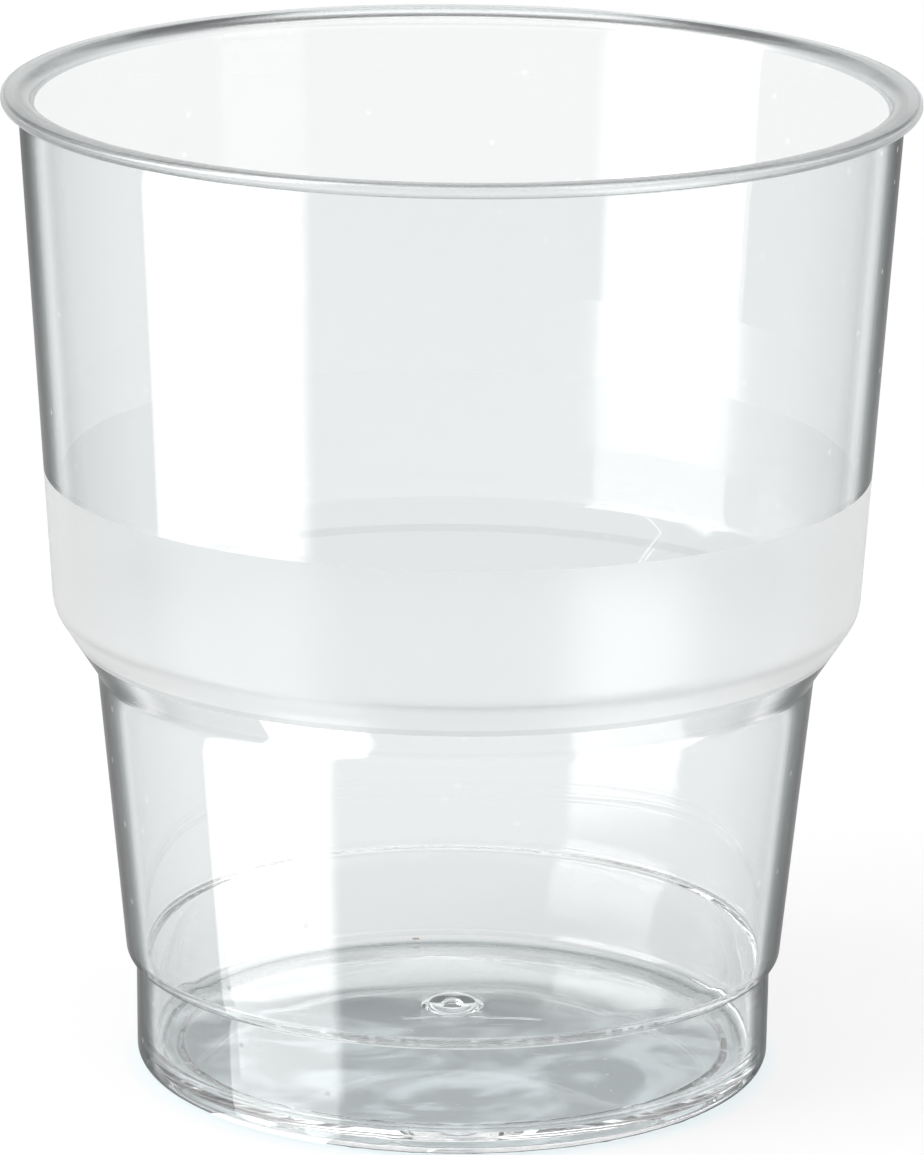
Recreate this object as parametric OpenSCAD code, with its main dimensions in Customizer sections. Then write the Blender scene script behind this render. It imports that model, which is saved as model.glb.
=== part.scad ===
// Stacking tumbler, moulded in one piece from clear plastic.
// The cup's axis is Z, and its standing ring lies on z = 0.
// From the bottom up: a narrow foot, a small ledge, a tapered lower wall,
// a sloping shoulder that lets cups stack, a tall upper wall and a drinking lip.

/* [Lip] */
// Outer diameter of the lip, the widest part of the cup
lip_d = 80; // [78:0.5:84]
// Height of the whole cup
height = 88; // [76:0.5:100]
// How far the lip stands out from the wall below it
lip_out = 1.5; // [1.1:0.1:2]
// Thickness of the lip, from its underside to its top
lip_h = 1.1; // [1:0.1:1.5]
// Rounding of the drinking edge, inside the lip
lip_round = 1.1; // [0.6:0.1:1.3]

/* [Wall] */
// Thickness of the wall, the shoulder and the floor
wall = 1.35; // [1.1:0.05:1.5]

/* [Shoulder] */
// Outer diameter at the top of the shoulder
shoulder_top_d = 71.2; // [70:0.1:73]
// Height of the top of the shoulder
shoulder_top_z = 42.3; // [41:0.1:46]
// Outer diameter at the bottom of the shoulder
shoulder_low_d = 63.5; // [62:0.1:65]
// Height of the bottom of the shoulder
shoulder_low_z = 36.4; // [33:0.1:37]

/* [Foot] */
// Outer diameter of the foot
foot_d = 56.4; // [55:0.1:57]
// Outer diameter of the wall just above the ledge
ledge_d = 58.5; // [58:0.1:60]
// Height of the ledge
ledge_z = 11; // [9:0.1:14]
// Rise of the ledge from the foot out to the wall
ledge_h = 1; // [0.8:0.1:1.6]
// Rounding of the foot's bottom edge
foot_round = 1.5; // [1:0.1:1.8]

/* [Floor] */
// Inner diameter of the flat ring that the cup stands on
ring_in_d = 48; // [46:0.5:50]
// Height of the small step inside the standing ring
ring_step = 0.5; // [0.4:0.1:0.8]
// Height of the domed floor's underside at its centre
dome_h = 3.1; // [2:0.1:3.6]
// Diameter of the raised button at the centre of the floor
button_d = 5.6; // [5:0.1:8]
// Height of the button above the floor
button_h = 1; // [0.6:0.1:1.4]
// Diameter of the hollow under the button
hollow_d = 3.6; // [3:0.1:4.4]
// Depth of the hollow under the button
hollow_h = 0.7; // [0.5:0.1:0.9]
// Diameter of the moulding gate's stub, inside the hollow
gate_d = 1.4; // [1:0.1:2]
// Length of the gate's stub
gate_h = 0.35; // [0.2:0.05:0.45]

/* [Hidden] */

// Straight pieces in one full turn, and degrees in each piece of a rounded corner
TURN_STEPS = 180;
CORNER_STEP = 15;
// Straight pieces along the domed floor, and over the button
DOME_STEPS = 14;
BUTTON_STEPS = 6;

// Roundings of the outside, from the foot up to the lip
foot_top_round = 0.3;
ledge_round = 0.5;
shoulder_low_round = 1.5;
shoulder_top_round = 3;
lip_under_round = 0.3;
lip_low_round = 0.4;
lip_top_round = 0.5;
// Rounding between the floor and the wall, inside
floor_round = 1.2;
// Width of the sloping step inside the standing ring
step_run = 0.4;

lip_r = lip_d / 2;
ring_in_r = ring_in_d / 2;
button_r = button_d / 2;
hollow_r = hollow_d / 2;
gate_r = gate_d / 2;

// Corners of the outside, as [radius, height], from the foot up to the lip's underside
FOOT = [foot_d / 2, 0];
FOOT_TOP = [foot_d / 2 + 0.1, ledge_z - ledge_h];
LEDGE = [ledge_d / 2, ledge_z];
SHOULDER_LOW = [shoulder_low_d / 2, shoulder_low_z];
SHOULDER_TOP = [shoulder_top_d / 2, shoulder_top_z];
UNDER_LIP = [lip_r - lip_out, height - lip_h];

// The underside of the floor is part of a sphere, and its top is a wall further out
dome_r = ring_in_r - step_run;
dome_rise = dome_h - ring_step;
sphere_r = (dome_r * dome_r + dome_rise * dome_rise) / (2 * dome_rise);
sphere_z = dome_h - sphere_r;
hollow_top = sphere_height(sphere_r, hollow_r) + hollow_h;
button_sphere = (button_r * button_r + button_h * button_h) / (2 * button_h);
button_top = sphere_height(sphere_r + wall, button_r) + button_h;

// Height of the floor's sphere of a given size, at distance r from the axis
function sphere_height(size, r) = sphere_z + sqrt(size * size - r * r);

function unit(v) = v / norm(v);

// Direction square to the line from a up to b, pointing in towards the axis
function inward(a, b) = let (d = unit(b - a)) [-d[1], d[0]];

// Where the inside has its corner when the outside has its corner at b
function inner_corner(a, b, c) =
    let (m = inward(a, b), n = inward(b, c))
    b + wall * (m + n) / (1 + m * n);

// Points of the corner at b, between a and c, rounded to radius r
function rounded(a, b, c, r) =
    let (
        to_a = unit(a - b),
        to_c = unit(c - b),
        half = acos(to_a * to_c) / 2,
        centre = b + unit(to_a + to_c) * r / sin(half),
        start = b + to_a * r / tan(half) - centre,
        finish = b + to_c * r / tan(half) - centre,
        first = atan2(start[1], start[0]),
        turn = atan2(start[0] * finish[1] - start[1] * finish[0], start * finish),
        steps = ceil(abs(turn) / CORNER_STEP)
    )
    [for (i = [0:steps])
        let (angle = first + turn * i / steps)
        centre + r * [cos(angle), sin(angle)]];

// Points of a path whose corners are rounded; its two ends stay as they are
function rounded_path(corners, radii) =
    [for (i = [1:len(corners) - 2])
        each rounded(corners[i - 1], corners[i], corners[i + 1], radii[i - 1])];

// The underside, from the axis out to the standing ring
function underside() = [
    [0, hollow_top - gate_h],
    [gate_r, hollow_top - gate_h],
    [gate_r, hollow_top],
    [hollow_r, hollow_top],
    for (i = [0:DOME_STEPS])
        let (r = hollow_r + (dome_r - hollow_r) * i / DOME_STEPS)
        [r, sphere_height(sphere_r, r)],
    [ring_in_r, 0]
];

// The outside, from the standing ring up to the top of the lip
function outside() = rounded_path(
    [[ring_in_r, 0], FOOT, FOOT_TOP, LEDGE, SHOULDER_LOW, SHOULDER_TOP, UNDER_LIP,
        [lip_r, height - lip_h], [lip_r, height], [UNDER_LIP[0], height]],
    [foot_round, foot_top_round, ledge_round, shoulder_low_round, shoulder_top_round,
        lip_under_round, lip_low_round, lip_top_round]
);

// The inside, from the top of the lip down to the floor
function inside() =
    let (
        foot_in = FOOT[0] - wall,
        top = UNDER_LIP + wall * inward(SHOULDER_TOP, UNDER_LIP),
        floor_in = foot_in - floor_round * 2
    )
    rounded_path(
        [[UNDER_LIP[0], height],
            [top[0], height],
            inner_corner(SHOULDER_LOW, SHOULDER_TOP, UNDER_LIP),
            inner_corner(LEDGE, SHOULDER_LOW, SHOULDER_TOP),
            inner_corner(FOOT_TOP, LEDGE, SHOULDER_LOW),
            inner_corner(FOOT, FOOT_TOP, LEDGE),
            [foot_in, sphere_height(sphere_r + wall, foot_in)],
            [floor_in, sphere_height(sphere_r + wall, floor_in)]],
        [lip_round, shoulder_top_round - wall, shoulder_low_round + wall,
            ledge_round, foot_top_round, floor_round]
    );

// The top of the floor, from beside the wall in to the button and the axis
function floor_top() =
    let (edge = FOOT[0] - wall - floor_round * 2)
    [
        for (i = [0:DOME_STEPS])
            let (r = edge + (button_r - edge) * i / DOME_STEPS)
            [r, sphere_height(sphere_r + wall, r)],
        for (i = [1:BUTTON_STEPS])
            let (r = button_r * (1 - i / BUTTON_STEPS))
            [r, button_top - button_sphere + sqrt(button_sphere * button_sphere - r * r)]
    ];

module tumbler() {
    color([0.92, 0.94, 0.94, 0.5])
    rotate_extrude($fn = TURN_STEPS)
    polygon(concat(underside(), outside(), inside(), floor_top()));
}

tumbler();
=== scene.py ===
# %% [markdown]
# # A clear stacking tumbler
# The object is a drinking tumbler moulded in one go from clear plastic, taken to be polystyrene. It
# has one wall all the way round, so the looks are decided by three things: a clean shell, a plastic
# that bends light, and a studio that gives the plastic something to show.
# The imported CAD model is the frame: everything here is in metres, on the same axes. The CAD's circles
# are made of short straight pieces, so its box is a hair narrower one way, and the lip keeps to that.

import math

import bmesh
import bpy
from mathutils import Matrix, Vector, noise


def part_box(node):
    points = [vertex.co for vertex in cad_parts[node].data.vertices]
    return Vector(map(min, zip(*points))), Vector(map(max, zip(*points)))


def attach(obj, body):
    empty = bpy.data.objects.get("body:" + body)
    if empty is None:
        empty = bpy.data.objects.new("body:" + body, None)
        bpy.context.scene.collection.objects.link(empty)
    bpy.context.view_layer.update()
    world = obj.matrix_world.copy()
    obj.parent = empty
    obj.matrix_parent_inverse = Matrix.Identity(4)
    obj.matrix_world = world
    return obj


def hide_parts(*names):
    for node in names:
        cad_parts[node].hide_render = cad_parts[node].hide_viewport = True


MM = 0.001

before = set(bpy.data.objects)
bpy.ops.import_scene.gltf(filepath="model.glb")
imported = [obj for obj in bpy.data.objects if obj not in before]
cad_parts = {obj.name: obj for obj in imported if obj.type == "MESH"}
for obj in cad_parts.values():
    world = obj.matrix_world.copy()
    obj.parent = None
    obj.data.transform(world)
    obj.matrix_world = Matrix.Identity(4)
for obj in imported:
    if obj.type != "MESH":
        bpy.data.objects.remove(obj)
scene = bpy.context.scene
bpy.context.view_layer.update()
cup_low, cup_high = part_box("tumbler")
lip_radius = min(cup_high[0], cup_high[1]) / MM
cup_height = cup_high[2] / MM
print(f"CAD tumbler: lip radius {lip_radius:.2f} mm, height {cup_height:.2f} mm")

# %% [markdown]
# ## The camera
# A long lens from a little over half a metre, looking down at the cup by fifteen degrees, keeps the
# wall's sides almost straight while the mouth and the base open into ellipses.

# %% Place the camera
CAMERA_PLACE = (0.46, -625.1, 214.5)
LOOK_DOWN = math.radians(15.243)
ROLL = math.radians(0.605)
LENS = 228.7

camera_data = bpy.data.cameras.new("camera")
camera_data.sensor_width = 36.0
camera_data.lens = LENS
camera_data.clip_start = 0.01
camera_data.clip_end = 20.0
camera = bpy.data.objects.new("camera", camera_data)
scene.collection.objects.link(camera)
camera.matrix_world = (
    Matrix.Translation(Vector(CAMERA_PLACE) * MM)
    @ Matrix.Rotation(math.pi / 2 - LOOK_DOWN, 4, "X")
    @ Matrix.Rotation(ROLL, 4, "Z")
)
scene.camera = camera
print(f"camera {Vector(CAMERA_PLACE).length:.0f} mm from the cup's foot")

# %% [markdown]
# ## The outline
# The mould is turned on a lathe, so the whole cup is one closed outline spun about its axis. The
# outline could be drawn point by point, but it is easier to change when it is only a handful of
# corners, each a radius, a height and a rounding. A vertex bevel then rounds each corner.
# The outside comes first. The inside is the same path moved in by the wall's thickness, but for the
# ledge, whose inside corners are placed on their own because its two thin lines depend on them.

# %% The corners of the outside
WALL = 1.35
FOOT_RADIUS = 28.2
BAND_LOW = 39.8
BAND_HIGH = 54.6
BAND_EDGE = 0.3

lip_out = 1.5
lip_thick = 1.1
foot_corner = (FOOT_RADIUS, 0.0)
foot_top = (FOOT_RADIUS + 0.1, 9.96)
ledge = (29.16, 10.24)
shoulder_low = (31.75, 36.4)
shoulder_top = (35.6, 42.3)
under_lip = (lip_radius - lip_out, cup_height - lip_thick)


def between(low, high, height):
    """The point of a straight wall at a height."""
    share = (height - low[1]) / (high[1] - low[1])
    return (low[0] + (high[0] - low[0]) * share, height)


def moved_in(a, b, c):
    """The inside corner that keeps the wall's thickness on both sides of the corner at b."""
    first = Vector((b[0] - a[0], b[1] - a[1])).normalized()
    second = Vector((c[0] - b[0], c[1] - b[1])).normalized()
    m = Vector((-first.y, first.x))
    n = Vector((-second.y, second.x))
    inset = (m + n) * (WALL / (1 + m.dot(n)))
    return (b[0] + inset.x, b[1] + inset.y)


band_high = between(shoulder_top, under_lip, BAND_HIGH)
wall_lean = math.atan2(under_lip[0] - shoulder_top[0], under_lip[1] - shoulder_top[1])
inside_ledge_top = (27.7, 10.89)
inside_ledge_foot = (27.1, 10.28)
inside_top = (under_lip[0] - WALL / math.cos(wall_lean), cup_height)
print(f"frosted band from {BAND_LOW} to {BAND_HIGH} mm")
print(f"wall leaning {math.degrees(wall_lean):.1f} degrees")

# %% [markdown]
# ## The floor's two domes
# The floor is a shallow dome, so that the cup stands on a ring. Underneath is part of a ball, and the
# top is the same ball made larger by the wall. Spinning one vertex about the ball's middle draws
# each arc.

# %% Sizes of the domes
FLOOR_THICK = 1.39
RING_IN = 24.15
RING_STEP = 0.67
STEP_RUN = 0.1
DOME_HEIGHT = 3.19
BUTTON_RADIUS = 2.8
BUTTON_HEIGHT = 1.0
HOLLOW_RADIUS = 1.8
HOLLOW_DEPTH = 0.7
GATE_RADIUS = 0.7
GATE_LENGTH = 0.35

dome_edge = RING_IN - STEP_RUN
dome_rise = DOME_HEIGHT - RING_STEP
ball = (dome_edge**2 + dome_rise**2) / (2 * dome_rise)
ball_middle = DOME_HEIGHT - ball


def dome_height(size, radius):
    """Height of a ball of this size about the dome's middle, at a distance from the axis."""
    return ball_middle + math.sqrt(size**2 - radius**2)


button_ball = (BUTTON_RADIUS**2 + BUTTON_HEIGHT**2) / (2 * BUTTON_HEIGHT)
button_top = dome_height(ball + FLOOR_THICK, BUTTON_RADIUS) + BUTTON_HEIGHT
hollow_top = dome_height(ball, HOLLOW_RADIUS) + HOLLOW_DEPTH
inside_foot = FOOT_RADIUS - WALL
print(f"dome ball {ball:.0f} mm, button top at {button_top:.2f} mm")

# %% [markdown]
# ## Drawing the outline
# Each corner is a vertex, and edges join them in order. The corners could be rounded by hand with
# sums, but a vertex bevel does it, and takes more steps where the outline turns further. The long
# edges are cut up afterwards, so that the faces of the spun wall aren't slivers.

# %% Tools for the outline
EDGE_LENGTH = 1.3
STEPS_PER_QUARTER = 9


def walk(bm, start, points):
    """Adds edges from a vertex through points, each (radius, height), and returns the new vertices."""
    made = []
    for radius, height in points:
        vertex = bm.verts.new((radius * MM, 0.0, height * MM))
        if start:
            bm.edges.new((start, vertex))
        made.append(vertex)
        start = vertex
    return made


def walk_arc(bm, start, size, middle, radius, steps):
    """Spins a vertex about the middle of a ball on the axis until it is at a radius."""
    turn = math.asin(radius / size) - math.asin(start.co.x / MM / size)
    made = bmesh.ops.spin(
        bm,
        geom=[start],
        cent=(0.0, 0.0, middle * MM),
        axis=(0.0, 1.0, 0.0),
        angle=turn,
        steps=steps,
        use_duplicate=False,
    )
    return made["geom_last"][0]


def round_corner(bm, corner, rounding):
    """Rounds the outline at a corner, with steps that suit how far it turns there."""
    a, c = [edge.other_vert(corner).co - corner.co for edge in corner.link_edges]
    turn = math.pi - a.angle(c)
    bmesh.ops.bevel(
        bm,
        geom=[corner],
        affect="VERTICES",
        offset=rounding * MM * math.tan(turn / 2),
        offset_type="OFFSET",
        segments=max(2, math.ceil(STEPS_PER_QUARTER * turn / (math.pi / 2))),
        profile=0.5,
        material=-1,
        clamp_overlap=False,
    )


# %% Draw the outline
SMALL = 0.1
FOOT_ROUNDING = 1.31
SHOULDER_LOW_ROUNDING = 1.5
SHOULDER_TOP_ROUNDING = 3.0
RING_OUT = FOOT_RADIUS - FOOT_ROUNDING
SCUFF_WIDTH = 0.45

# Each corner is a point and its rounding.
outside_corners = [
    ((RING_IN, 0.0), SMALL),
    ((RING_IN + SCUFF_WIDTH, 0.0), 0),
    ((RING_OUT - SCUFF_WIDTH, 0.0), 0),
    (foot_corner, FOOT_ROUNDING),
    (foot_top, 0.14),
    (ledge, 0.62),
    (shoulder_low, SHOULDER_LOW_ROUNDING),
    (between(shoulder_low, shoulder_top, BAND_LOW - BAND_EDGE), 0),
    (between(shoulder_low, shoulder_top, BAND_LOW + BAND_EDGE), 0),
    (shoulder_top, SHOULDER_TOP_ROUNDING),
    (band_high, 0),
    (under_lip, 0.26),
    ((lip_radius, cup_height - lip_thick), 0.55),
    ((lip_radius, cup_height), 0.43),
]
inside_corners = [
    (inside_top, 1.25),
    (moved_in(shoulder_low, shoulder_top, under_lip), SHOULDER_TOP_ROUNDING - WALL),
    (moved_in(ledge, shoulder_low, shoulder_top), SHOULDER_LOW_ROUNDING + WALL),
    (inside_ledge_top, 0.6),
    (inside_ledge_foot, 0.43),
    ((inside_foot, dome_height(ball + FLOOR_THICK, inside_foot)), 1.34),
]
wall_corners = outside_corners + inside_corners
gate_corners = [
    (0.0, hollow_top - GATE_LENGTH),
    (GATE_RADIUS, hollow_top - GATE_LENGTH),
    (GATE_RADIUS, hollow_top),
    (HOLLOW_RADIUS, hollow_top),
    (HOLLOW_RADIUS, dome_height(ball, HOLLOW_RADIUS)),
]
FLOOR_MARGIN = 2.4
DOME_STEPS = 20
BUTTON_STEPS = 8
floor_edge = inside_foot - FLOOR_MARGIN

cup = bmesh.new()
gate = walk(cup, None, gate_corners)
dome_end = walk_arc(cup, gate[-1], ball, ball_middle, dome_edge, DOME_STEPS)
walls = walk(cup, dome_end, [point for point, rounding in wall_corners])
floor_start = walk(cup, walls[-1], [(floor_edge, dome_height(ball + FLOOR_THICK, floor_edge))])[0]
button_foot = walk_arc(cup, floor_start, ball + FLOOR_THICK, ball_middle, BUTTON_RADIUS, DOME_STEPS)
walk_arc(cup, button_foot, button_ball, button_top - button_ball, 0.0, BUTTON_STEPS)

for corner in gate[1:] + [dome_end, button_foot]:
    round_corner(cup, corner, SMALL)
for corner, (point, rounding) in zip(walls, wall_corners):
    if rounding:
        round_corner(cup, corner, rounding)
for edge in cup.edges[:]:
    pieces = math.ceil(edge.calc_length() / (EDGE_LENGTH * MM))
    if pieces > 1:
        bmesh.ops.subdivide_edges(cup, edges=[edge], cuts=pieces - 1)
print(f"outline of {len(cup.verts)} vertices")

# %% [markdown]
# ## The shell
# One full spin turns the outline into the solid plastic. The vertices on the axis are made once for
# each step, so they are merged into a single pole, and then the normals are turned outwards.

# %% Spin the outline
TURN_STEPS = 256
SAME_PLACE = 0.0005

bmesh.ops.spin(
    cup,
    geom=cup.verts[:] + cup.edges[:],
    cent=(0.0, 0.0, 0.0),
    axis=(0.0, 0.0, 1.0),
    angle=math.tau,
    steps=TURN_STEPS,
    use_merge=True,
    use_duplicate=False,
)
bmesh.ops.remove_doubles(cup, verts=cup.verts[:], dist=SAME_PLACE * MM)
bmesh.ops.recalc_face_normals(cup, faces=cup.faces[:])
print(f"shell of {len(cup.faces)} faces, {cup.calc_volume() * 1e9:.0f} cubic mm of plastic")
print(f"open edges: {sum(not edge.is_manifold for edge in cup.edges)}")

# %% [markdown]
# ## A worn standing ring
# The two edges of the standing ring touch every table and every cup below, so they have small burrs
# here and there. They could be painted with a bump, but a clear cup shows its edges by bending light,
# so the vertices themselves are pushed outwards at the crests of a smooth noise.

# %% Crinkle the ring's edges
CRINKLE = 0.9
CREST = 0.3
CRINKLE_LENGTH = 1.3
CRINKLE_REACH = 0.7


def crinkle(vertex, edge_radius):
    """Pushes a vertex near a ring's edge outwards at the crests of a noise, less away from the edge."""
    radius = math.hypot(vertex.co.x, vertex.co.y) / MM
    away = math.hypot(radius - edge_radius, vertex.co.z / MM) / CRINKLE_REACH
    if away >= 1:
        return 0
    crest = max(0.0, abs(noise.noise(vertex.co / MM / CRINKLE_LENGTH)) - CREST)
    push = crest * CRINKLE * (1 - away)
    out = Vector((vertex.co.x, vertex.co.y, 0.0)).normalized()
    vertex.co += out * push * MM
    return 1


near_edges = sum(crinkle(v, RING_IN) + crinkle(v, RING_OUT) for v in cup.verts)
print(f"{near_edges} vertices near the ring's edges")

# %% [markdown]
# ## Which finish goes where
# The mould is polished everywhere but for a belt on the outside of the upper wall, which is etched and
# comes out frosted. The belt's edges are rings of the outline, so its faces can be picked by place, and
# its lower edge is a thin painted shade line of its own. The upper and lower wall, the wall's inside,
# the floor and the lip each get a finish, because each meets the light at another angle, and most of
# them carry painted shade at glancing angles. The standing ring's two edges are scuffed in patches, and
# one face low on the back wall is a brown speck.
# All of these could be painted with masks in one material, but picking whole faces keeps each
# material's tree short.

# %% Sort the faces into finishes
FINISHES = [
    "wall_outside",
    "lower_outside",
    "wall_inside",
    "frosted_belt",
    "belt_edge",
    "floor_top",
    "floor_underneath",
    "scuffed_edge",
    "brown_speck",
    "lip_edge",
    "lip_underneath",
]
LIP_ZONE = cup_height - lip_thick - 0.35
LIP_INSIDE = cup_height - 1.1
FLOOR_ZONE = 7.0
FLOOR_SIDE = inside_foot - 0.3
RING_ZONE = 0.3
SCUFF_PATCH = 0.9
SCUFF_LEVEL = -0.25
SPECK_PLACE = Vector((-3.6, 26.2, 2.0))
# How far a face must look outwards, inwards or down to count, as a part of its normal.
OUTWARDS = 0.3
INWARDS = -0.5
DOWN = -0.25


def finish_of(face):
    """The finish of a face, from which way it looks and where it lies."""
    centre = face.calc_center_median() / MM
    out = Vector((centre.x, centre.y, 0.0)).normalized()
    faces_out = face.normal.dot(out)
    if faces_out > OUTWARDS and abs(centre.z - BAND_LOW) < BAND_EDGE:
        return FINISHES.index("belt_edge")
    if faces_out > OUTWARDS and BAND_LOW < centre.z < BAND_HIGH:
        return FINISHES.index("frosted_belt")
    radius = out.dot(centre)
    on_edge = abs(radius - RING_IN) < SCUFF_WIDTH or abs(radius - RING_OUT) < SCUFF_WIDTH
    if centre.z < RING_ZONE and on_edge and noise.noise(centre / SCUFF_PATCH) > SCUFF_LEVEL:
        return FINISHES.index("scuffed_edge")
    if centre.z < FLOOR_ZONE and radius < FLOOR_SIDE:
        return FINISHES.index("floor_top" if face.normal.z > 0 else "floor_underneath")
    if centre.z > LIP_ZONE and faces_out > INWARDS and face.normal.z < DOWN:
        return FINISHES.index("lip_underneath")
    if centre.z > LIP_ZONE and (faces_out > INWARDS or centre.z > LIP_INSIDE):
        return FINISHES.index("lip_edge")
    if faces_out < INWARDS:
        return FINISHES.index("wall_inside")
    return FINISHES.index("lower_outside" if centre.z < shoulder_low[1] else "wall_outside")


for face in cup.faces:
    face.smooth = True
    face.material_index = finish_of(face)
speck = min(cup.faces, key=lambda face: (face.calc_center_median() / MM - SPECK_PLACE).length)
speck.material_index = FINISHES.index("brown_speck")
counts = [sum(face.material_index == i for face in cup.faces) for i in range(len(FINISHES))]
print("faces of each finish:", dict(zip(FINISHES, counts)))

# %% Put the shell in the scene
tumbler_mesh = bpy.data.meshes.new("clear_tumbler")
cup.to_mesh(tumbler_mesh)
cup.free()
tumbler = bpy.data.objects.new("clear_tumbler", tumbler_mesh)
scene.collection.objects.link(tumbler)
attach(tumbler, "root")
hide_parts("tumbler")
print(f"{tumbler.name}: {len(tumbler_mesh.polygons)} faces")

# %% [markdown]
# ## Helpers for node trees
# Every material below is a small tree of nodes. These helpers make a node, join two sockets, and do
# sums, so that a tree reads like a formula.

# %% Helpers for nodes
def add_node(tree, kind, **settings):
    """A new node with its settings made."""
    made = tree.nodes.new(kind)
    for name, value in settings.items():
        setattr(made, name, value)
    return made


def feed(tree, value, socket):
    """Joins a socket to an input, or sets the input to a plain value."""
    if isinstance(value, bpy.types.NodeSocket):
        tree.links.new(value, socket)
    else:
        socket.default_value = value


def sums(tree, operation, *values):
    """A Math node's result."""
    made = add_node(tree, "ShaderNodeMath", operation=operation)
    for value, socket in zip(values, made.inputs):
        feed(tree, value, socket)
    return made.outputs[0]


def fade(tree, value, low, high, at_low=0.0, at_high=1.0):
    """Goes smoothly from at_low, where value is low, to at_high, where it is high."""
    made = add_node(tree, "ShaderNodeMapRange", interpolation_type="SMOOTHSTEP")
    for name, number in (
        ("Value", value),
        ("From Min", low),
        ("From Max", high),
        ("To Min", at_low),
        ("To Max", at_high),
    ):
        feed(tree, number, made.inputs[name])
    return made.outputs["Result"]


# %% [markdown]
# ## Marks of use
# Every finish carries the moulding's slow ripple, nearly all a little dust, and the floor and the
# scuffed edges hairline scratches too. An effect shared by several materials is a node group, made
# once and placed in each with its own amounts: a height for the Bump node, or a haze for the
# roughness.

# %% The node groups of marks
def scratch_lines(tree, place, turn, stretch, limit):
    """Thin lines: noise drawn out along one direction, of which only the highest crests are kept."""
    mapping = add_node(tree, "ShaderNodeMapping")
    feed(tree, place, mapping.inputs["Vector"])
    mapping.inputs["Rotation"].default_value = turn
    mapping.inputs["Scale"].default_value = stretch
    grain = add_node(tree, "ShaderNodeTexNoise")
    feed(tree, mapping.outputs["Vector"], grain.inputs["Vector"])
    grain.inputs["Scale"].default_value = 1.0
    grain.inputs["Detail"].default_value = 1.0
    return fade(tree, grain.outputs["Fac"], limit, limit + 0.04)


moulded = bpy.data.node_groups.new("moulded_surface", "ShaderNodeTree")
moulded.interface.new_socket("Ripple", in_out="INPUT", socket_type="NodeSocketFloat")
moulded.interface.new_socket("Dust", in_out="INPUT", socket_type="NodeSocketFloat")
moulded.interface.new_socket("Height", in_out="OUTPUT", socket_type="NodeSocketFloat")
moulded.interface.new_socket("Haze", in_out="OUTPUT", socket_type="NodeSocketFloat")
amounts = add_node(moulded, "NodeGroupInput").outputs
results = add_node(moulded, "NodeGroupOutput").inputs
place = add_node(moulded, "ShaderNodeTexCoord").outputs["Object"]
ripple = add_node(moulded, "ShaderNodeTexNoise")
feed(moulded, place, ripple.inputs["Vector"])
ripple.inputs["Scale"].default_value = 70.0
ripple.inputs["Detail"].default_value = 0.0
specks = add_node(moulded, "ShaderNodeTexVoronoi")
feed(moulded, place, specks.inputs["Vector"])
specks.inputs["Scale"].default_value = 260.0
dust = fade(moulded, specks.outputs["Distance"], 0.05, 0.09, 1.0, 0.0)
feed(moulded, sums(moulded, "MULTIPLY", ripple.outputs["Fac"], amounts["Ripple"]), results["Height"])
feed(moulded, sums(moulded, "MULTIPLY", dust, amounts["Dust"]), results["Haze"])

worn = bpy.data.node_groups.new("scratches", "ShaderNodeTree")
worn.interface.new_socket("Amount", in_out="INPUT", socket_type="NodeSocketFloat")
worn.interface.new_socket("Haze", in_out="OUTPUT", socket_type="NodeSocketFloat")
amount = add_node(worn, "NodeGroupInput").outputs["Amount"]
place = add_node(worn, "ShaderNodeTexCoord").outputs["Object"]
upright = scratch_lines(worn, place, (0.1, 0.2, 0.0), (2500.0, 2500.0, 120.0), 0.74)
across = scratch_lines(worn, place, (0.0, 0.0, 0.5), (150.0, 2500.0, 2500.0), 0.74)
lines = sums(worn, "MULTIPLY", sums(worn, "MAXIMUM", upright, across), amount)
feed(worn, lines, add_node(worn, "NodeGroupOutput").inputs["Haze"])
print(f"groups of {len(moulded.nodes)} and {len(worn.nodes)} nodes")

# %% [markdown]
# ## Clear plastic
# Polystyrene bends light by 1.59, more than glass. A thick edge looks dark because it shows the dark
# corners of a real room. A white studio has none, so a Layer Weight deepens the plastic's tint where
# the surface is seen at a glancing angle. It is an aid for the looks: modelling dark walls round the
# cup would be the truer way, but they would show in every reflection.

# %% Make a finish
POLYSTYRENE = 1.59
PLASTIC_TINT = (0.916, 0.928, 0.930)
EDGE_SHADE_POWER = 14
RIPPLE_HEIGHT = 0.02


def painted_edge_shading(tree, stops):
    """Painted shade: a colour for each angle, from a surface seen straight on, at 0, to one seen edge
    on, at 1.
    """
    weight = add_node(tree, "ShaderNodeLayerWeight")
    weight.inputs["Blend"].default_value = 0.5
    ramp = add_node(tree, "ShaderNodeValToRGB")
    steps = ramp.color_ramp.elements
    steps[0].position, steps[1].position = stops[0][0], stops[-1][0]
    for place, _ in stops[1:-1]:
        steps.new(place)
    for step, (_, depth) in zip(steps, stops):
        deeper = [tint ** (1 + depth * EDGE_SHADE_POWER) * (1 - depth) for tint in PLASTIC_TINT]
        step.color = (*[min(1.0, tint) for tint in deeper], 1.0)
    feed(tree, weight.outputs["Facing"], ramp.inputs["Fac"])
    return ramp.outputs["Color"]


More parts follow.
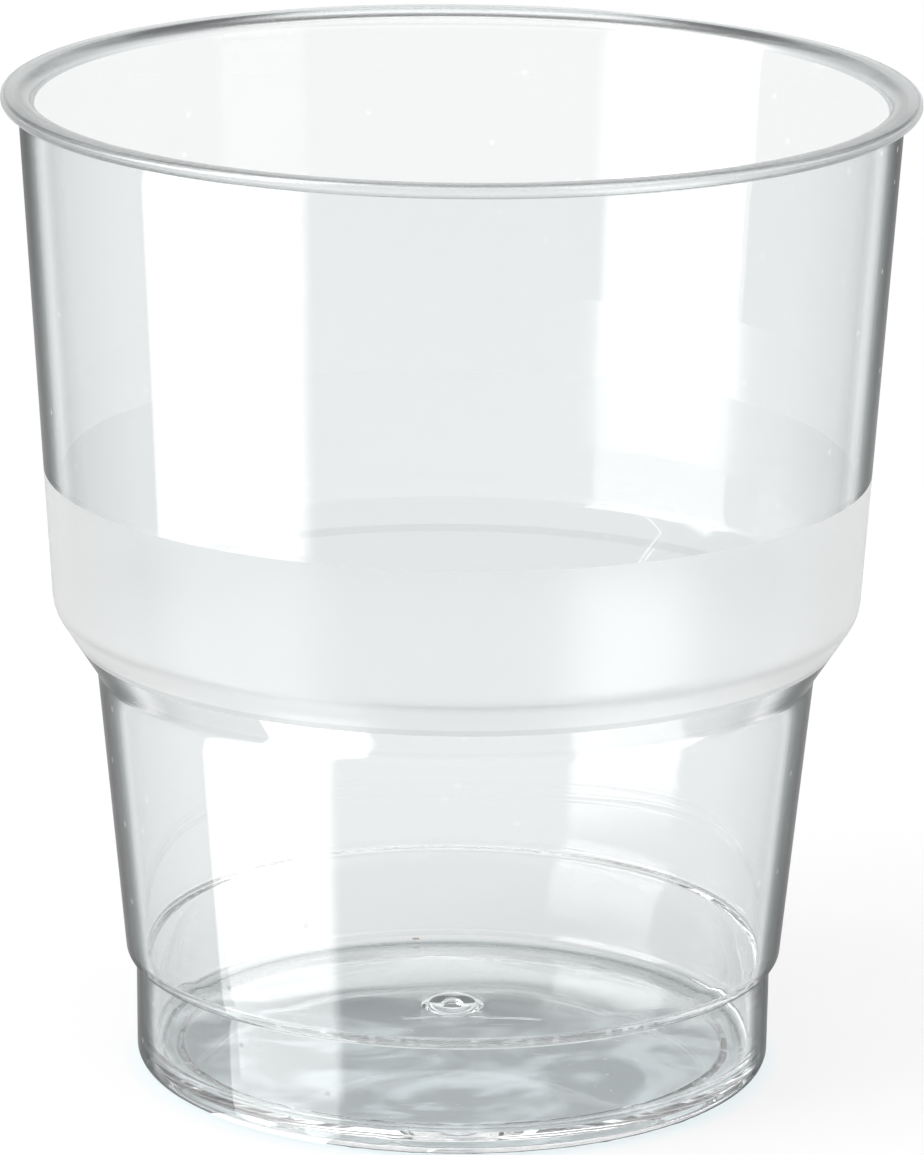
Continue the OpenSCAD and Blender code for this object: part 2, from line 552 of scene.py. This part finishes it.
def plastic(name, stops=None, haze=0.1, rough=0.0, ripple=1.0, scratches=0.0, dust=0.1):
    """A finish of the clear plastic, in the tumbler's next material slot."""
    material = bpy.data.materials.new(name)
    material.use_nodes = True
    tree = material.node_tree
    shader = tree.nodes["Principled BSDF"]
    shader.inputs["Base Color"].default_value = (*PLASTIC_TINT, 1.0)
    shader.inputs["IOR"].default_value = POLYSTYRENE
    shader.inputs["Transmission Weight"].default_value = 1.0
    # A ramp paints shade into the plastic's colour where the surface is seen at a glancing angle.
    if stops:
        feed(tree, painted_edge_shading(tree, stops), shader.inputs["Base Color"])
    surface = add_node(tree, "ShaderNodeGroup", node_tree=moulded)
    surface.inputs["Ripple"].default_value = ripple
    surface.inputs["Dust"].default_value = dust
    marked = surface.outputs["Haze"]
    if scratches:
        wear = add_node(tree, "ShaderNodeGroup", node_tree=worn)
        wear.inputs["Amount"].default_value = scratches
        marked = sums(tree, "MAXIMUM", marked, wear.outputs["Haze"])
    feed(tree, sums(tree, "MULTIPLY_ADD", marked, haze, rough), shader.inputs["Roughness"])
    bump = add_node(tree, "ShaderNodeBump")
    bump.inputs["Distance"].default_value = RIPPLE_HEIGHT * MM
    feed(tree, surface.outputs["Height"], bump.inputs["Height"])
    feed(tree, bump.outputs["Normal"], shader.inputs["Normal"])
    tumbler_mesh.materials.append(material)
    return material


# %% [markdown]
# ## The eleven finishes
# Each finish is the same plastic with its own ramp of painted edge shade, roughness and wear. The ramps
# could be one curve for all, but the upper wall, the lower wall and the lip go dark at different
# angles, because each leans differently. They are tuned for this studio. They are made in the order of
# the list of finishes, because a face finds its material by number.

# %% The ramps
# Each pair is how glancing the view is, from 0 to 1, and how much painted shade deepens the tint there;
# below 0 it paints light instead.
wall_painted_shading = [
    (0.0, 0.0),
    (0.40, 0.0),
    (0.58, 0.07),
    (0.645, 0.17),
    (0.67, 0.10),
    (0.695, -0.04),
    (0.715, 0.0),
    (0.735, 0.18),
    (0.765, 0.60),
    (0.80, 0.85),
    (0.84, 0.96),
    (0.90, 0.96),
    (1.0, 0.7),
]
lower_painted_shading = [
    (0.0, 0.0),
    (0.40, 0.0),
    (0.58, 0.07),
    (0.64, 0.12),
    (0.675, 0.05),
    (0.70, 0.30),
    (0.72, 0.62),
    (0.76, 0.85),
    (0.84, 0.98),
    (0.92, 0.98),
    (1.0, 0.85),
]
floor_painted_shading = [(0.0, 0.0), (0.5, 0.02), (0.72, 0.05), (1.0, 0.0)]
lip_painted_shading = [(0.0, 0.0), (0.2, 0.05), (0.5, 0.3), (0.7, 0.35), (1.0, 0.35)]
under_lip_painted_shading = [(0.0, 0.0), (0.3, 0.2), (1.0, 0.6)]
# The belt's ramp paints light on its glancing edges and a little shade face on; the belt's edge line is
# painted shade at every angle.
belt_painted_light_and_shade = [(0.0, 0.05), (0.4, 0.04), (0.75, -0.06), (1.0, -0.07)]
belt_line_painted_shade = [(0.0, 0.15), (1.0, 0.15)]
print(f"the upper wall's ramp has {len(wall_painted_shading)} steps")

# %% Make the finishes
BELT_ROUGHNESS = 0.3
SCUFFS_CLEAR = 0.3
SCUFFS_COLOUR = (1.0, 1.0, 1.0, 1.0)
SPECK_COLOUR = (0.20, 0.13, 0.06, 1.0)

plastic("wall_outside", wall_painted_shading)
plastic("lower_outside", lower_painted_shading)
plastic("wall_inside")
plastic("frosted_belt", belt_painted_light_and_shade, rough=BELT_ROUGHNESS, dust=0.0)
# The belt's lower edge is darkened by painted shade, the same at every angle.
plastic("belt_edge", belt_line_painted_shade, rough=BELT_ROUGHNESS, dust=0.0)
floor_top = plastic("floor_top", floor_painted_shading, haze=0.6, ripple=10.0, scratches=0.6, dust=0.15)
plastic("floor_underneath", haze=0.4, ripple=10.0, scratches=0.5, dust=0.1)
scuffed_edge = plastic("scuffed_edge", rough=0.5, scratches=1.0, dust=1.0)
scuffs = scuffed_edge.node_tree.nodes["Principled BSDF"].inputs
scuffs["Transmission Weight"].default_value = SCUFFS_CLEAR
scuffs["Base Color"].default_value = SCUFFS_COLOUR
brown_speck = plastic("brown_speck")
speck_shader = brown_speck.node_tree.nodes["Principled BSDF"].inputs
speck_shader["Base Color"].default_value = SPECK_COLOUR
plastic("lip_edge", lip_painted_shading, rough=0.22)
plastic("lip_underneath", under_lip_painted_shading, rough=0.1)
print("finishes:", [slot.name for slot in tumbler_mesh.materials])

# %% [markdown]
# ## One long scratch
# A single scratch crosses the floor in front of the button. It could be cut into the mesh, but it is
# finer than the floor's faces, so it is a height in the Bump node: how far a point is from a slanted
# line, faded out at both ends of the line.

# %% Scratch the floor
SCRATCH_START = Vector((-4.6, -3.6))
SCRATCH_LENGTH = 12.8
SCRATCH_SLOPE = 0.047
SCRATCH_MIDDLE = 0.05
SCRATCH_SIDE = 0.25
SCRATCH_FADE = 1.0
SCRATCH_DEPTH = 3.0

tree = floor_top.node_tree
spot = add_node(tree, "ShaderNodeSeparateXYZ")
feed(tree, add_node(tree, "ShaderNodeTexCoord").outputs["Object"], spot.inputs["Vector"])
along = sums(tree, "SUBTRACT", spot.outputs["X"], SCRATCH_START.x * MM)
line_y = sums(tree, "MULTIPLY_ADD", along, SCRATCH_SLOPE, SCRATCH_START.y * MM)
away = sums(tree, "ABSOLUTE", sums(tree, "SUBTRACT", spot.outputs["Y"], line_y))
scratch = fade(tree, away, SCRATCH_MIDDLE * MM, SCRATCH_SIDE * MM, 1.0, 0.0)
scratch = sums(tree, "MULTIPLY", scratch, fade(tree, along, 0.0, SCRATCH_FADE * MM))
fade_from = (SCRATCH_LENGTH - SCRATCH_FADE) * MM
scratch_end = fade(tree, along, fade_from, SCRATCH_LENGTH * MM, 1.0, 0.0)
scratch = sums(tree, "MULTIPLY", scratch, scratch_end)
height_socket = tree.nodes["Bump"].inputs["Height"]
moulded_height = height_socket.links[0].from_socket
feed(tree, sums(tree, "MULTIPLY_ADD", scratch, -SCRATCH_DEPTH, moulded_height), height_socket)
print(f"scratch {SCRATCH_LENGTH} mm long")

# %% [markdown]
# ## The studio
# Clear plastic has almost no colour of its own: what is seen is the room. A whole room could be
# modelled, but a floor and a sky that glow are easier to steer. To the camera both are plain white. To
# light that the cup reflects or lets through they aren't plain, and the next steps say how. It is made
# for this cup, so the cup looks different on another stage.
# Near the cup a fifth of the floor is diffuse paint, which keeps the cup's shadow. That share fades
# outwards, so that no edge shows at the horizon.

# %% The floor's mesh
FLOOR_SIZE = 12.0
FLOOR_DROP = 0.05

floor_shape = bmesh.new()
bmesh.ops.create_grid(floor_shape, x_segments=1, y_segments=1, size=FLOOR_SIZE / 2)
bmesh.ops.translate(floor_shape, verts=floor_shape.verts[:], vec=(0.0, 0.0, -FLOOR_DROP * MM))
floor_mesh = bpy.data.meshes.new("floor")
floor_shape.to_mesh(floor_mesh)
floor_shape.free()
floor = bpy.data.objects.new("floor", floor_mesh)
scene.collection.objects.link(floor)
print(f"floor {FLOOR_SIZE:.0f} m square")

# %% The floor's material
WHITE = (1.0, 1.0, 1.0, 1.0)
SHADOW_SHARE = 0.2
SHADOW_FULL = 0.15
SHADOW_GONE = 0.45

pale_floor = bpy.data.materials.new("pale_floor")
pale_floor.use_nodes = True
pale_floor.cycles.emission_sampling = "NONE"
floor_mesh.materials.append(pale_floor)
tree = pale_floor.node_tree
tree.nodes.clear()
surface = add_node(tree, "ShaderNodeOutputMaterial")
paint = add_node(tree, "ShaderNodeBsdfDiffuse")
paint.inputs["Color"].default_value = WHITE
glow = add_node(tree, "ShaderNodeEmission")
blend = add_node(tree, "ShaderNodeMixShader")
feed(tree, glow.outputs["Emission"], blend.inputs[1])
feed(tree, paint.outputs["BSDF"], blend.inputs[2])
feed(tree, blend.outputs["Shader"], surface.inputs["Surface"])
ray = add_node(tree, "ShaderNodeLightPath").outputs
floor_place = add_node(tree, "ShaderNodeTexCoord").outputs["Object"]
place_parts = add_node(tree, "ShaderNodeSeparateXYZ")
feed(tree, floor_place, place_parts.inputs["Vector"])
depth = place_parts.outputs["Y"]
length = add_node(tree, "ShaderNodeVectorMath", operation="LENGTH")
feed(tree, floor_place, length.inputs[0])
reach = length.outputs["Value"]
feed(tree, fade(tree, reach, SHADOW_FULL, SHADOW_GONE, SHADOW_SHARE, 0.0), blend.inputs["Fac"])
print(f"shadow kept within {SHADOW_FULL} m, gone at {SHADOW_GONE} m")

# %% [markdown]
# ## A light panel on the floor
# One long panel to the left of the camera gives the tall soft bands on the walls. It could be a lamp,
# but the front wall and the back wall would then mirror it in places that can't be set apart. So it
# is drawn on the floor as a wedge between two bearings, once for each wall. The number of surfaces
# that a ray has crossed says which wall it comes from. Of the rays that come through the plastic, only
# one that was reflected once sees the panel, or it would show straight through the cup.

# %% Helpers for the panel
def bearing(tree, place, centre):
    """The angle of a place seen from a centre on the floor: 0 towards the camera, growing leftwards."""
    parts = add_node(tree, "ShaderNodeSeparateXYZ")
    feed(tree, place, parts.inputs["Vector"])
    left = sums(tree, "SUBTRACT", centre[0] * MM, parts.outputs["X"])
    near = sums(tree, "SUBTRACT", centre[1] * MM, parts.outputs["Y"])
    return sums(tree, "ARCTAN2", left, near)


def panel(tree, place, inner_edge, outer_edge):
    """1 on a light panel between two edges, each (centre, bearing, softness) in mm and degrees."""
    masks = []
    for (centre, angle, soft), ends in ((inner_edge, (0.0, 1.0)), (outer_edge, (1.0, 0.0))):
        turned = bearing(tree, place, centre)
        low, high = math.radians(angle - soft / 2), math.radians(angle + soft / 2)
        masks.append(fade(tree, turned, low, high, *ends))
    return sums(tree, "MULTIPLY", *masks)


def pick(tree, mask, where_one, where_zero):
    """One value where the mask is 1 and another where it is 0."""
    made = add_node(tree, "ShaderNodeMix")
    feed(tree, mask, made.inputs["Factor"])
    feed(tree, where_zero, made.inputs["A"])
    feed(tree, where_one, made.inputs["B"])
    return made.outputs["Result"]


# %% Draw the panel for each wall
FRONT_EDGES = ((-10.8, -28.0), 42.0, 8.0), ((-21.0, -21.3), 90.0, 2.0)
BACK_EDGES = ((11.8, 30.8), 42.0, 4.0), ((24.0, 22.7), 93.0, 2.0)
FRONT_CROSSINGS = 2.5

lit_front = panel(tree, floor_place, *FRONT_EDGES)
lit_front = sums(tree, "MULTIPLY", lit_front, fade(tree, depth, 0.0, 0.012, 1.0, 0.0))
lit_back = panel(tree, floor_place, *BACK_EDGES)
lit_back = sums(tree, "MULTIPLY", lit_back, fade(tree, depth, 0.012, 0.022, 1.0, 0.0))
lit_back = sums(tree, "MULTIPLY", lit_back, fade(tree, reach, 0.060, 0.115))
from_back = sums(tree, "GREATER_THAN", ray["Transmission Depth"], FRONT_CROSSINGS)
reflected_once = sums(tree, "COMPARE", ray["Glossy Depth"], 1.0, 0.5)
lit_through = pick(tree, from_back, lit_back, lit_front)
lit_through = sums(tree, "MULTIPLY", lit_through, fade(tree, reach, 0.034, 0.038))
lit_through = sums(tree, "MULTIPLY", lit_through, reflected_once)
print("panel in front from", FRONT_EDGES[0][1], "to", FRONT_EDGES[1][1], "degrees")

# %% [markdown]
# ## The floor under the cup
# A clear cup keeps some light out from under its foot, and gathers some into bright pools. They could
# be traced from the lamps, but that takes a great many samples, so they are a distorted noise on the
# near half of the floor under the cup.

# %% Shade the floor under the cup
UNDER_CUP = 0.49
UNDER_COLOUR = (0.90, 0.98, 1.0, 1.0)
POOLS_LOW = 0.16
POOLS_HIGH = 0.62
FOOT_INSIDE = 0.0275
FOOT_OUTSIDE = 0.0300

outside_foot = fade(tree, reach, FOOT_INSIDE, FOOT_OUTSIDE)
gathered = add_node(tree, "ShaderNodeTexNoise")
feed(tree, floor_place, gathered.inputs["Vector"])
gathered.inputs["Scale"].default_value = 90.0
gathered.inputs["Detail"].default_value = 2.0
gathered.inputs["Distortion"].default_value = 1.5
pools = fade(tree, gathered.outputs["Fac"], 0.40, 0.66, POOLS_LOW, POOLS_HIGH)
near_half = fade(tree, depth, 0.0, 0.014, 1.0, 0.0)
shaded = sums(tree, "MULTIPLY_ADD", pools, near_half, UNDER_CUP)
shade = add_node(tree, "ShaderNodeMix", data_type="RGBA")
feed(tree, outside_foot, shade.inputs[0])
feed(tree, UNDER_COLOUR, shade.inputs[6])
feed(tree, WHITE, shade.inputs[7])
feed(tree, shade.outputs[2], glow.inputs["Color"])
print(f"under the cup {UNDER_CUP + POOLS_LOW:.2f} to {UNDER_CUP + POOLS_HIGH:.2f} of white in front")

# %% [markdown]
# ## What each kind of ray sees
# Light Path says how a ray came to the floor. A mirror reflection sees a dim floor and a strong
# panel. A ray that came through the plastic sees a white floor, the shade under the cup, and the
# panel if a wall reflected it. A ray from a frosted or scuffed face is spread wide, so it gets levels
# of its own. The camera sees plain white.

# %% Set the floor's levels
MIRRORED = 0.22
HAZY_MIRRORED = 1.0
HAZY_THROUGH = 1.09
PANEL_MIRRORED = 4.5
PANEL_HAZY_MIRRORED = 0.9
PANEL_THROUGH = 4.5
PANEL_HAZY_THROUGH = 3.0
PANEL_HAZY_FROM_BACK = 7.0

clear = ray["Is Singular Ray"]
mirror_plain = pick(tree, clear, MIRRORED, HAZY_MIRRORED)
mirror_panel = pick(tree, clear, PANEL_MIRRORED, PANEL_HAZY_MIRRORED)
mirror_level = pick(tree, lit_front, mirror_panel, mirror_plain)
through_plain = pick(tree, outside_foot, pick(tree, clear, 1.0, HAZY_THROUGH), shaded)
hazy_panel = pick(tree, from_back, PANEL_HAZY_FROM_BACK, PANEL_HAZY_THROUGH)
through_panel = pick(tree, clear, PANEL_THROUGH, hazy_panel)
through_level = pick(tree, lit_through, through_panel, through_plain)
level = sums(tree, "MULTIPLY", ray["Is Reflection Ray"], mirror_level)
level = sums(tree, "MULTIPLY_ADD", ray["Is Transmission Ray"], through_level, level)
feed(tree, sums(tree, "MAXIMUM", level, ray["Is Camera Ray"]), glow.inputs["Strength"])
print(f"the floor's material has {len(tree.nodes)} nodes")

# %% [markdown]
# ## The room
# The sky is bright low down and dark above, so that the plastic has a light and a dark to mirror and
# bend. Right overhead it is bright again, which brightens the whole cup a little. The panel goes on
# above the horizon, as a tall soft box would. A picture of a studio could do the same, but a few
# levels are easier to steer. They are tuned by eye.

# %% Make the room
SKY_LOW = 0.21
SKY_HIGH = 0.29
SKY_BRIGHT = 1.37
SKY_DARK = 0.20
OVERHEAD_FROM = 0.80
OVERHEAD_FULL = 0.85
OVERHEAD = 2.0
ROOM_EDGES = ((0.0, 0.0), 42.0, 4.0), ((0.0, 0.0), 93.0, 4.0)
PANEL_TOP = 0.52
PANEL_FADE = 0.05
PANEL_ABOVE = 6.0
ON_PAINT = 0.45

room = bpy.data.worlds.new("studio")
scene.world = room
room.use_nodes = True
tree = room.node_tree
backdrop = tree.nodes["Background"]
backdrop.inputs["Color"].default_value = WHITE
ray = add_node(tree, "ShaderNodeLightPath").outputs
direction = add_node(tree, "ShaderNodeTexCoord").outputs["Generated"]
sky_parts = add_node(tree, "ShaderNodeSeparateXYZ")
feed(tree, direction, sky_parts.inputs["Vector"])
rise = sky_parts.outputs["Z"]
sky = fade(tree, rise, SKY_LOW, SKY_HIGH, SKY_BRIGHT, SKY_DARK)
overhead = fade(tree, rise, OVERHEAD_FROM, OVERHEAD_FULL, 0.0, OVERHEAD - SKY_DARK)
sky = sums(tree, "ADD", sky, overhead)
lit = panel(tree, direction, *ROOM_EDGES)
lit = sums(tree, "MULTIPLY", lit, fade(tree, rise, PANEL_TOP, PANEL_TOP + PANEL_FADE, 1.0, 0.0))
sky = pick(tree, lit, PANEL_ABOVE, sky)
sky = pick(tree, ray["Is Diffuse Ray"], ON_PAINT, sky)
feed(tree, pick(tree, ray["Is Camera Ray"], 1.0, sky), backdrop.inputs["Strength"])
print(f"the room has {len(tree.nodes)} nodes")

# %% [markdown]
# ## The lamps
# Two large soft lamps light the diffuse paint of the floor, so that the cup casts a soft shadow to
# the right. They could light the plastic too, but their square shapes would show in it, so they are
# hidden from reflections and from light that comes through.

# %% Place the lamps
def soft_lamp(name, azimuth, elevation, distance, size, power):
    """A soft lamp aimed at the cup. Azimuth 0 is the camera's side and 90 is its right."""
    data = bpy.data.lights.new(name, "AREA")
    data.shape = "RECTANGLE"
    data.size, data.size_y = size
    data.energy = power
    lamp = bpy.data.objects.new(name, data)
    turn, rise = math.radians(azimuth), math.radians(elevation)
    back = Vector((math.sin(turn) * math.cos(rise), -math.cos(turn) * math.cos(rise), math.sin(rise)))
    lamp.location = Vector((0.0, 0.0, cup_height / 2 * MM)) + back * distance
    lamp.rotation_euler = (-back).to_track_quat("-Z", "Y").to_euler()
    lamp.visible_camera = False
    lamp.visible_glossy = False
    lamp.visible_transmission = False
    scene.collection.objects.link(lamp)
    print(f"{name}: {power} W")


soft_lamp("key_lamp", -66, 50, 0.9, (0.6, 0.5), 3.5)
soft_lamp("top_lamp", 20, 80, 0.9, (0.6, 0.6), 2.6)

# %% [markdown]
# ## Render settings
# Light bounces many times inside a clear wall before it gets out. With too few bounces the edges go
# black, so plenty are allowed.

# %% Set the bounces
BOUNCES = 96

scene.view_settings.view_transform = "Standard"
scene.cycles.max_bounces = BOUNCES
scene.cycles.transmission_bounces = BOUNCES
scene.cycles.glossy_bounces = BOUNCES
print(f"{BOUNCES} bounces")
